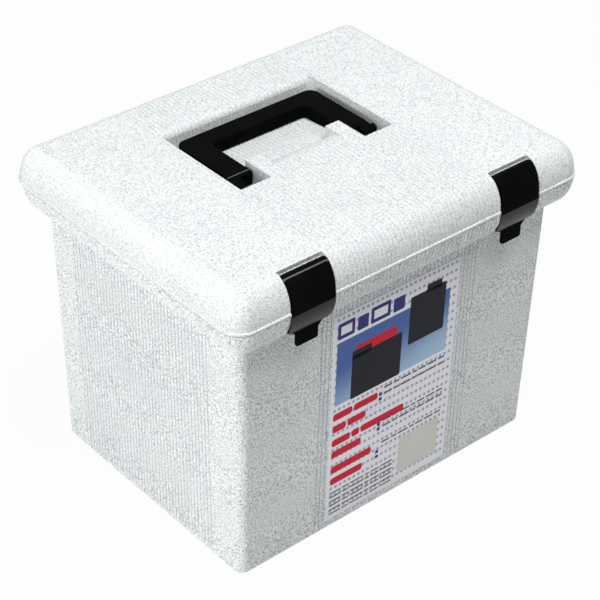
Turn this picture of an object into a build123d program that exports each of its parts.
from build123d import *
import math
import os

# Portable file box: a moulded tub with a flared rim, a hinged domed lid with a sunk
# carry handle, and two snap latches. Millimetres. X runs along the front, Y
# towards the rear, Z up. The origin is the middle of the footprint, on the floor.
# Cutting forms run a millimetre or two past the faces they open.

# Overall sizes
lid_width = 355.6
lid_depth = 282.6
box_height = 279.4
lid_height = 28.9
parting_gap = 0.3
corner_radius = 19.0
wall = 3.0

# Lid form: a bead along the lower edge, a short upright skirt, an elliptical round
bead_proud = 1.2
bead_height = 2.8
bead_round = 1.1
skirt_height = 3.0
lid_round = 18.0

# Tub and its flared rim
rim_set_back = 0.6
rim_flare = 17.7
rim_drop = 24.7
tub_draft = 3.8
tub_corner_radius = 8.0
floor_thickness = 4.2
foot_width = 14.0
foot_height = 1.2
edge_softening = 1.5

# Rails for the hooks of hanging folders
rail_rise = 13.0
rail_end_space = 22.0

# Locating lips under the lid
lip_thickness = 2.0
lip_drop = 4.0
lip_gap = 0.7
lip_shoulder = 4.0
lip_end_space = 40.0

# Lid hinges, two along the rear edge
hinge_end_space = 77.8
hinge_inset = 3.6
hinge_barrel_radius = 3.1
hinge_pin_radius = 1.25
hinge_knuckle_length = 24.0
hinge_ear_length = 10.0
hinge_end_gap = 0.4
hinge_barrel_gap = 0.35
rear_clearance = 1.2

# Well in the lid's top for the handle
well_side_gap = 6.5
well_front = -23.4
well_rear = 77.0
well_depth = 23.4
well_draft = 8.0
well_corner_radius = 1.5
well_rear_round = 7.0
island_gap = 0.8
shoulder_length = 31.4
shoulder_drop = 12.4
ramp_fall = 4.4
ramp_under_grip = 0.8
scoop_width = 68.0
scoop_run = 24.0
scoop_steps = 8

# Carry handle
handle_width = 142.0
handle_leg_width = 22.4
grip_width = 18.4
grip_rear_space = 9.2
handle_thickness = 12.0
handle_sink = 4.4
handle_edge_round = 1.6
handle_corner_radius = 9.0
handle_inner_radius = 3.0
pivot_from_well_front = 18.9
pivot_ear_width = 10.0
pivot_hub_radius = 3.5
pivot_hub_root = 2.0
nose_reach = 4.9
nose_rise = 2.0
nose_lip = 1.0
nose_bevel_run = 6.0
handle_pin_radius = 2.5
handle_pin_seat = 8.0

# Latches
latch_end_space = 72.5
latch_width = 41.6
latch_thickness = 3.2
latch_side_gap = 0.7
latch_back_gap = 0.4
latch_barrel_radius = 3.9
latch_pin_radius = 1.5
latch_pin_seat = 4.5
latch_head_inset = 10.0
latch_pin_depth = 4.0
latch_end_drop = 20.2
latch_curl = 12.0
latch_corner_round = 4.5
latch_panel_margin = 1.6
latch_panel_proud = 0.6
latch_panel_reach = 9.3
latch_panel_drop = 1.5
latch_pocket_gap = 0.8
tab_width = 20.5
tab_root_width = 28.6
tab_root_length = 1.6
tab_taper = 3.6
tab_length = 15.3
tab_corner_round = 1.2
tab_thickness = 2.4
catch_proud = 1.5
catch_height = 3.0
catch_end_space = 6.0
catch_above_latch_end = 4.6
latch_notch_depth = 10.6

# Paper label on the front
label_width = 131.0
label_bottom = 8.0
label_top_space = 13.5
label_thickness = 0.3
label_shift = -3.0

# Clearances
fit_gap = 0.3
pin_gap = 0.05
latch_pin_gap = 0.08

# Heights and places that follow from the sizes above
parting_height = box_height - lid_height
lid_front = -lid_depth / 2
lid_rear = lid_depth / 2
rim_top = parting_height - parting_gap
rim_bottom = rim_top - rim_drop
gutter_floor = rim_bottom + wall
skirt_top = parting_height + skirt_height
lid_rise = box_height - skirt_top
hinge_y = lid_rear - hinge_inset
hinge_z = parting_height
rim_rear_set_back = hinge_inset + rear_clearance
rim_width = lid_width - 2 * rim_set_back
rim_depth = lid_depth - rim_set_back - rim_rear_set_back
rim_middle = (lid_front + rim_set_back + lid_rear - rim_rear_set_back) / 2
tub_width = rim_width - 2 * rim_flare
tub_depth = rim_depth - 2 * rim_flare
well_width = handle_width + 2 * well_side_gap
well_floor = box_height - well_depth
island_half_width = handle_width / 2 - handle_leg_width - island_gap
island_rear = well_front + shoulder_length
handle_top = box_height - handle_sink
handle_bottom = handle_top - handle_thickness
handle_rear = well_rear - grip_rear_space
pivot_y = well_front + pivot_from_well_front
pivot_z = (handle_top + handle_bottom) / 2
grip_front = handle_rear - grip_width
trench_front = grip_front + ramp_under_grip
ramp_top = box_height - shoulder_drop
latch_x = lid_width / 2 - latch_end_space
latch_xs = (-latch_x, latch_x)
hinge_x = lid_width / 2 - hinge_end_space
hinge_xs = (-hinge_x, hinge_x)
skin_front = lid_front + bead_proud
rim_front = lid_front + rim_set_back
notch_floor = rim_front + latch_notch_depth
nose_back = notch_floor - catch_proud - fit_gap
latch_end_z = rim_top - latch_end_drop
notch_half = latch_width / 2 + latch_side_gap
boss_half = notch_half + latch_pin_seat
channel_depth = latch_thickness + latch_back_gap
head_cos = (lid_round - latch_head_inset) / lid_round
head_sin = math.sqrt(1 - head_cos ** 2)
head_slope = math.hypot(head_cos / lid_round, head_sin / lid_rise)
latch_pin_y = skin_front + latch_head_inset + latch_pin_depth * head_cos / lid_round / head_slope
latch_pin_z = skirt_top + lid_rise * head_sin - latch_pin_depth * head_sin / lid_rise / head_slope
hinge_half = hinge_knuckle_length / 2 + hinge_end_gap + hinge_ear_length


def x_prism(face, x_low, x_high):
    """The Y-Z section face made solid between two x positions."""
    return Pos(x_low, 0, 0) * extrude(face, x_high - x_low, dir=(1, 0, 0))


def yz_face(points):
    """A flat face in the Y-Z plane from (y, z) corners."""
    corners = [(0, y, z) for y, z in points]
    return make_face(Polyline(*corners, close=True))


def box_between(low, high):
    """A box from its lowest to its highest corner."""
    size = [b - a for a, b in zip(low, high)]
    middle = [(a + b) / 2 for a, b in zip(low, high)]
    return Pos(*middle) * Box(*size)


def x_rod(radius, x_low, x_high, y, z):
    """A round rod along X."""
    middle = Plane(origin=((x_low + x_high) / 2, y, z), z_dir=(1, 0, 0))
    return middle * Cylinder(radius, x_high - x_low)


def outline(width, depth, radius, middle, z):
    """A rounded rectangle lying at height z."""
    return Plane(origin=(0, middle, z)) * RectangleRounded(width, depth, radius)


def edge_trim(width, depth, radius, middle, z, reach, rise):
    """What a quarter ellipse leaves outside it, run round a rounded rectangle."""
    side = width / 2
    arc = EllipticalCenterArc((0, 0), reach, abs(rise), start_angle=0, arc_size=90)
    corner = Polyline(
        (0, abs(rise)), (0, abs(rise) + 2), (reach + 2, abs(rise) + 2), (reach + 2, 0), (reach, 0)
    )
    section = make_face(Wire(arc.edges() + corner.edges()))
    if rise < 0:
        section = mirror(section, Plane.XZ)
    frame = Plane(origin=(side - reach, middle, z), x_dir=(1, 0, 0), z_dir=(0, -1, 0))
    path = outline(width, depth, radius, middle, z).wire()
    return sweep(frame * section, path=path)


def lid_form(inset, base):
    """The lid's outer form drawn in by inset, standing on height base."""
    drawn = bead_proud + inset
    width = lid_width - 2 * drawn
    depth = lid_depth - 2 * drawn
    radius = corner_radius - drawn
    block = extrude(outline(width, depth, radius, 0, base), box_height - inset - base)
    trim = edge_trim(width, depth, radius, 0, skirt_top, lid_round - inset, lid_rise - inset)
    return block - trim


def rim_form(inset, top):
    """The rim's outer form drawn in by inset, up to height top."""
    width = rim_width - 2 * inset
    depth = rim_depth - 2 * inset
    radius = corner_radius - rim_set_back - inset
    base = rim_bottom + inset
    block = extrude(outline(width, depth, radius, rim_middle, base), top - base)
    trim = edge_trim(width, depth, radius, rim_middle, rim_top, rim_flare - inset, inset - rim_drop)
    return block - trim


def tub_form(inset, low, high):
    """The tub's drafted form drawn in by inset, between two heights."""
    def section(z):
        draw = inset + tub_draft * (gutter_floor - z) / gutter_floor
        radius = max(tub_corner_radius - inset, 1.0)
        return outline(tub_width - 2 * draw, tub_depth - 2 * draw, radius, rim_middle, z)
    return loft([section(low), section(high)])


def well_form(grow):
    """The drafted well in the lid's top, grown by grow."""
    middle = (well_front + well_rear) / 2
    depth = well_rear - well_front
    top = box_height + 1
    spread = math.tan(math.radians(well_draft))
    low = well_floor - grow
    def section(z):
        draw = (box_height - z) * spread - grow
        radius = well_corner_radius + grow
        return outline(well_width - 2 * draw, depth - 2 * draw, radius, middle, z)
    return loft([section(low), section(top)])


def rear_roll_form(grow):
    """What the well's rounded rear edge leaves open, grown by grow."""
    low = box_height - well_rear_round
    slope = math.tan(math.radians(well_draft))
    front = well_rear - well_rear_round * slope
    half = well_width / 2 - well_rear_round * slope + grow
    corner = box_between((-half, front - 1, low), (half, front + well_rear_round, box_height + 1))
    return corner - x_rod(well_rear_round - grow, -half, half, front + well_rear_round, low)


def island_form(shrink):
    """What stands up in the well between the handle's legs, drawn in by shrink."""
    front = well_front - shoulder_length
    top = box_height + 2 if shrink == 0 else box_height - shrink
    ramp_low = ramp_top - ramp_fall
    body = yz_face([
        (front, well_floor - 20),
        (front, top),
        (island_rear - shrink, top),
        (island_rear - shrink, ramp_top - shrink),
        (trench_front - shrink, ramp_low - shrink),
        (trench_front - shrink, well_floor - 20),
    ])
    half = island_half_width - shrink
    island = x_prism(body, -half, half)
    start = island_rear - scoop_run
    drop = shoulder_drop
    radius = (scoop_run ** 2 + drop ** 2) / (2 * drop)
    angle = math.degrees(math.asin(scoop_run / radius))
    curve = scoop_face(start, radius, angle, shrink)
    return island - x_prism(curve, -scoop_width / 2 - shrink, scoop_width / 2 + shrink)


def scoop_face(start, radius, angle, grow):
    """Section of the finger scoop: an arc that leaves the lid's top gently."""
    swing = math.radians(angle)
    z_top = box_height
    points = []
    for step in range(scoop_steps + 1):
        turn = swing * step / scoop_steps
        points.append((start + radius * math.sin(turn), z_top - radius * (1 - math.cos(turn)) - grow))
    end_y, end_z = points[-1]
    rise = box_height + 4
    return yz_face([(start, rise)] + points + [(end_y + 4, end_z), (end_y + 4, rise)])


def latch_slab(x, half, back, low, high):
    """The block of space in front of back, across one latch, between two heights."""
    return box_between((x - half, lid_front - 2, low), (x + half, back, high))


def lid_housing(x):
    """Lid material kept behind one latch's channel and round its pin."""
    back = latch_pin_y + latch_barrel_radius + latch_pocket_gap + wall
    slab = latch_slab(x, boss_half, back, parting_height - 2, box_height + 2)
    kept = slab - lid_form(channel_depth + wall, parting_height - 3)
    radius = latch_barrel_radius + latch_pocket_gap + wall
    return kept + x_rod(radius, x - boss_half, x + boss_half, latch_pin_y, latch_pin_z)


def lid_channel(x):
    """The channel in the lid that one latch lies in."""
    back = latch_pin_y + latch_barrel_radius + latch_pocket_gap
    slab = latch_slab(x, notch_half, back, parting_height - 2, box_height + 2)
    channel = slab - lid_form(channel_depth, parting_height - 3)
    radius = latch_barrel_radius + latch_pocket_gap
    return channel + x_rod(radius, x - notch_half, x + notch_half, latch_pin_y, latch_pin_z)


def lid_lips():
    """Ribs under the lid's front and sides that locate it inside the rim."""
    low = parting_height - lip_drop
    rim_inside = rim_set_back + wall + lip_gap
    front = lid_front + rim_inside
    section = [
        (lid_front + bead_proud + 1, parting_height),
        (lid_front + bead_proud + 1, parting_height + lip_shoulder),
        (front + lip_thickness, parting_height + lip_shoulder),
        (front + lip_thickness, low),
        (front, low),
        (front, parting_height),
    ]
    half = latch_x - boss_half - fit_gap
    lips = x_prism(yz_face(section), -half, half)
    length = lid_depth - 2 * lip_end_space
    turned = [(y + lid_depth / 2 - lid_width / 2, z) for y, z in section]
    side = x_prism(yz_face(turned), -length / 2, length / 2)
    return lips + Rot(0, 0, 90) * side + Rot(0, 0, -90) * side


def hinge_web(x_low, x_high, corners):
    """A hinge barrel along X with the web that carries it."""
    barrel = x_rod(hinge_barrel_radius, x_low, x_high, hinge_y, hinge_z)
    return barrel + x_prism(yz_face(corners), x_low, x_high)


def ear_spans(x):
    """X spans of the two hinge ears of one hinge."""
    inner = hinge_knuckle_length / 2 + hinge_end_gap
    return ((x - hinge_half, x - inner), (x + inner, x + hinge_half))


def make_lid():
    shell = lid_form(0, parting_height)
    bead = extrude(outline(lid_width, lid_depth, corner_radius, 0, parting_height), bead_height)
    rims = bead.edges().filter_by(Plane.XY)
    shell += fillet(rims, bead_round)
    hollow = lid_form(wall, parting_height - 1)
    hollow -= well_form(wall) - island_form(wall)
    hollow -= rear_roll_form(wall)
    for x in latch_xs:
        hollow -= lid_housing(x)
    for x in hinge_xs:
        low = (x - hinge_half - wall, hinge_y - hinge_barrel_radius - wall, parting_height - 2)
        high = (x + hinge_half + wall, lid_rear, hinge_z + hinge_barrel_radius + wall)
        hollow -= box_between(low, high)
    lid = shell - hollow
    lid -= well_form(0) - island_form(0)
    lid -= rear_roll_form(0)
    lid += lid_lips()
    for x in latch_xs:
        lid -= lid_channel(x)
        reach = boss_half + 1
        bore = latch_pin_radius + pin_gap
        lid -= x_rod(bore, x - reach, x + reach, latch_pin_y, latch_pin_z)
    for side in (-1, 1):
        ends = sorted((side * (handle_width / 2), side * (well_width / 2 + wall + 1)))
        lid -= x_rod(handle_pin_radius + pin_gap, *ends, pivot_y, pivot_z)
    clear = hinge_barrel_radius + hinge_barrel_gap
    half = hinge_knuckle_length / 2
    for x in hinge_xs:
        for low, high in ear_spans(x):
            start, end = low - hinge_end_gap, high + hinge_end_gap
            lid -= x_rod(clear, start, end, hinge_y, hinge_z)
            low_corner = (start, hinge_y, parting_height - 1)
            lid -= box_between(low_corner, (end, lid_rear + 1, hinge_z + 0.01))
        top = hinge_z + hinge_barrel_radius
        web = [
            (hinge_y - hinge_barrel_radius, hinge_z),
            (hinge_y + hinge_barrel_radius, hinge_z),
            (hinge_y + hinge_barrel_radius, top),
            (hinge_y - hinge_barrel_radius, top),
        ]
        lid += hinge_web(x - half, x + half, web)
        bore = hinge_pin_radius + pin_gap
        lid -= x_rod(bore, x - hinge_half - 1, x + hinge_half + 1, hinge_y, hinge_z)
    return lid


def make_body():
    tub = tub_form(0, 0, gutter_floor)
    tub = fillet(tub.faces().sort_by(Axis.Z)[0].edges(), edge_softening)
    shell = tub + rim_form(0, rim_top)
    hollow = tub_form(wall, floor_thickness, gutter_floor) + rim_form(wall, rim_top + 1)
    for x in latch_xs:
        slab = latch_slab(x, notch_half + wall, notch_floor + wall, rim_bottom, rim_top + 2)
        hollow -= slab
    clear = hinge_barrel_radius + hinge_barrel_gap
    for x in hinge_xs:
        low = (x - hinge_half - wall, hinge_y - clear - wall, rim_top - 3 * wall)
        hollow -= box_between(low, (x + hinge_half + wall, lid_rear, rim_top + 2))
    body = shell - hollow
    foot = outline(
        tub_width - 2 * (tub_draft + foot_width),
        tub_depth - 2 * (tub_draft + foot_width),
        tub_corner_radius,
        rim_middle,
        -1,
    )
    body -= extrude(foot, foot_height + 1)
    rail_x = tub_width / 2
    rail_half = tub_depth / 2 - rail_end_space
    for side in (-1, 1):
        ends = sorted((side * (rail_x - wall), side * rail_x))
        low = (ends[0], rim_middle - rail_half, gutter_floor - 1)
        body += box_between(low, (ends[1], rim_middle + rail_half, gutter_floor + rail_rise))
    for x in latch_xs:
        body -= latch_slab(x, notch_half, notch_floor, rim_bottom - 1, rim_top + 1)
        half = latch_width / 2 - catch_end_space
        catch_low = latch_end_z + catch_above_latch_end
        low = (x - half, notch_floor - catch_proud, catch_low)
        body += box_between(low, (x + half, notch_floor + 1, catch_low + catch_height))
    half = hinge_knuckle_length / 2 + hinge_end_gap
    for x in hinge_xs:
        body -= x_rod(clear, x - half, x + half, hinge_y, hinge_z)
        low_z = hinge_z - hinge_barrel_radius
        web = [
            (hinge_y - rear_clearance - wall / 2, rim_top),
            (hinge_y, rim_top),
            (hinge_y, low_z),
            (hinge_y - rear_clearance - wall / 2, low_z),
        ]
        for start, end in ear_spans(x):
            body += hinge_web(start, end, web)
        bore = hinge_pin_radius + pin_gap
        body -= x_rod(bore, x - hinge_half - 1, x + hinge_half + 1, hinge_y, hinge_z)
    return body


def make_handle():
    front = pivot_y - nose_reach
    half = handle_width / 2
    inner = half - handle_leg_width
    section = [
        (handle_rear + 1, handle_bottom - 1),
        (handle_rear + 1, handle_top + 1),
        (pivot_y + nose_bevel_run - 1, handle_top + 1),
        (pivot_y + nose_bevel_run, handle_top),
        (front, pivot_z + nose_rise),
        (front, pivot_z + nose_lip),
        (pivot_y, handle_bottom),
        (pivot_y, handle_bottom - 1),
    ]
    reach = handle_rear - front
    plan = Pos(0, (handle_rear + front) / 2, handle_bottom) * Rectangle(2 * half, reach)
    gap_depth = grip_front - front
    plan -= Pos(0, (grip_front + front) / 2, handle_bottom) * Rectangle(2 * inner, gap_depth)
    bail = extrude(plan, handle_thickness)
    upright = bail.edges().filter_by(Axis.Z).group_by(Axis.Y)
    bail = fillet(upright[-1], handle_corner_radius)
    inside = bail.edges().filter_by(Axis.Z).filter_by_position(Axis.Y, grip_front - 1, grip_front + 1)
    bail = fillet(inside, handle_inner_radius)
    bail = fillet(bail.edges().filter_by(Axis.Z, reverse=True), handle_edge_round)
    bail &= x_prism(yz_face(section), -half - 1, half + 1)
    relief = pivot_y + handle_pin_radius
    for side in (-1, 1):
        ends = sorted((side * (inner - 1), side * (half - pivot_ear_width)))
        bail -= box_between((ends[0], front - 1, handle_bottom - 1), (ends[1], relief, handle_top + 1))
    rise = box_height - pivot_z + pivot_hub_radius
    hub_end = well_width / 2 - rise * math.tan(math.radians(well_draft)) - fit_gap
    for side in (-1, 1):
        ends = sorted((side * (half - pivot_hub_root), side * hub_end))
        bail += x_rod(pivot_hub_radius, *ends, pivot_y, pivot_z)
        ends = sorted((side * (half - handle_pin_seat), side * (hub_end + 1)))
        bail -= x_rod(handle_pin_radius + pin_gap, *ends, pivot_y, pivot_z)
    return bail


def latch_curl_form(x, half, inset):
    """Quarter ellipse under the parting line that the latch's lower end follows."""
    across = latch_curl - inset
    down = rim_drop - inset
    arc = EllipticalCenterArc((0, 0), across, down, start_angle=180, arc_size=90)
    corner = Polyline((0, -down), (0, 0), (-across, 0))
    place = Plane(origin=(x - half, rim_front + latch_curl, rim_top), x_dir=(0, 1, 0), z_dir=(1, 0, 0))
    return extrude(place * make_face(Wire(arc.edges() + corner.edges())), 2 * half)


def latch_front_form(x, half):
    """The latch's outline seen from the front, with rounded lower corners, made deep."""
    height = 2 * (box_height - latch_end_z)
    place = Plane(origin=(x, lid_front - 2, latch_end_z + height / 2), x_dir=(1, 0, 0), z_dir=(0, -1, 0))
    return extrude(place * RectangleRounded(2 * half, height, latch_corner_round), -2 * lid_round)


def tab_face(x, front):
    """Front face of the finger tab: wide at its root, rounded at its end."""
    root = latch_end_z - tab_root_length
    low = latch_end_z - tab_length
    corners = [
        (tab_root_width / 2, latch_end_z + 1),
        (tab_root_width / 2, root),
        (tab_width / 2, root - tab_taper),
        (tab_width / 2, low),
    ]
    left = [(-across, z) for across, z in reversed(corners)]
    face = make_face(Polyline(*corners, *left, close=True))
    face = fillet(face.vertices().group_by(Axis.Y)[0], tab_corner_round)
    return Plane(origin=(x, front, 0), x_dir=(1, 0, 0), z_dir=(0, -1, 0)) * face


def make_latch(x):
    half = latch_width / 2
    upper = lid_form(0, parting_height) - lid_form(latch_thickness, parting_height - 1)
    head_y = skin_front + latch_head_inset
    latch = upper & latch_slab(x, half, head_y, parting_height, box_height)
    lower = latch_curl_form(x, half, 0) - latch_curl_form(x, half, latch_thickness)
    lower &= latch_slab(x, half, nose_back, latch_end_z, rim_top)
    latch += lower & latch_front_form(x, half)
    joining = (x - half, skin_front, rim_top - 1)
    latch += box_between(joining, (x + half, rim_front + latch_thickness, parting_height + 1))
    panel_low = rim_top - latch_panel_drop
    panel = lid_form(-latch_panel_proud, panel_low) - lid_form(1, panel_low - 1)
    panel_half = half - latch_panel_margin
    panel_back = skin_front + latch_panel_reach
    latch += panel & latch_slab(x, panel_half, panel_back, panel_low, box_height)
    latch += x_rod(latch_barrel_radius, x - half, x + half, latch_pin_y, latch_pin_z)
    bore = latch_pin_radius + latch_pin_gap
    latch -= x_rod(bore, x - half - 1, x + half + 1, latch_pin_y, latch_pin_z)
    tab = tab_face(x, nose_back)
    return latch + extrude(tab, tab_thickness)


def make_label():
    top = rim_bottom - label_top_space
    skin = tub_form(-label_thickness, 0, gutter_floor) - tub_form(0, -1, gutter_floor + 1)
    left = label_shift - label_width / 2
    space = box_between((left, lid_front, label_bottom), (left + label_width, 0, top))
    return skin & space


os.makedirs("parts", exist_ok=True)
pieces = {
    "box_body": make_body(),
    "lid": make_lid(),
    "carry_handle": make_handle(),
    "front_label": make_label(),
}
sides = ("left", "right")
for side, name in zip((-1, 1), sides):
    low_x = handle_width / 2 - handle_pin_seat + fit_gap
    high_x = well_width / 2 - (box_height - pivot_z) * math.tan(math.radians(well_draft)) + wall
    span = sorted((side * low_x, side * high_x))
    pieces[f"handle_pin_{name}"] = x_rod(handle_pin_radius, *span, pivot_y, pivot_z)
for x, name in zip(latch_xs, sides):
    pieces[f"latch_{name}"] = make_latch(x)
    pieces[f"latch_pin_{name}"] = x_rod(
        latch_pin_radius, x - boss_half, x + boss_half, latch_pin_y, latch_pin_z
    )
for x, name in zip(hinge_xs, sides):
    pieces[f"hinge_pin_{name}"] = x_rod(
        hinge_pin_radius, x - hinge_half, x + hinge_half, hinge_y, hinge_z
    )
for name, solid in pieces.items():
    export_step(solid, f"parts/{name}.step")
    size = solid.bounding_box().size
    print(name, len(solid.solids()), round(solid.volume), [round(v, 2) for v in size])
print("latch pin", round(latch_pin_y, 3), round(latch_pin_z, 3))
print("handle pivot", round(pivot_y, 3), round(pivot_z, 3))
print("lid hinge", round(hinge_y, 3), round(hinge_z, 3))
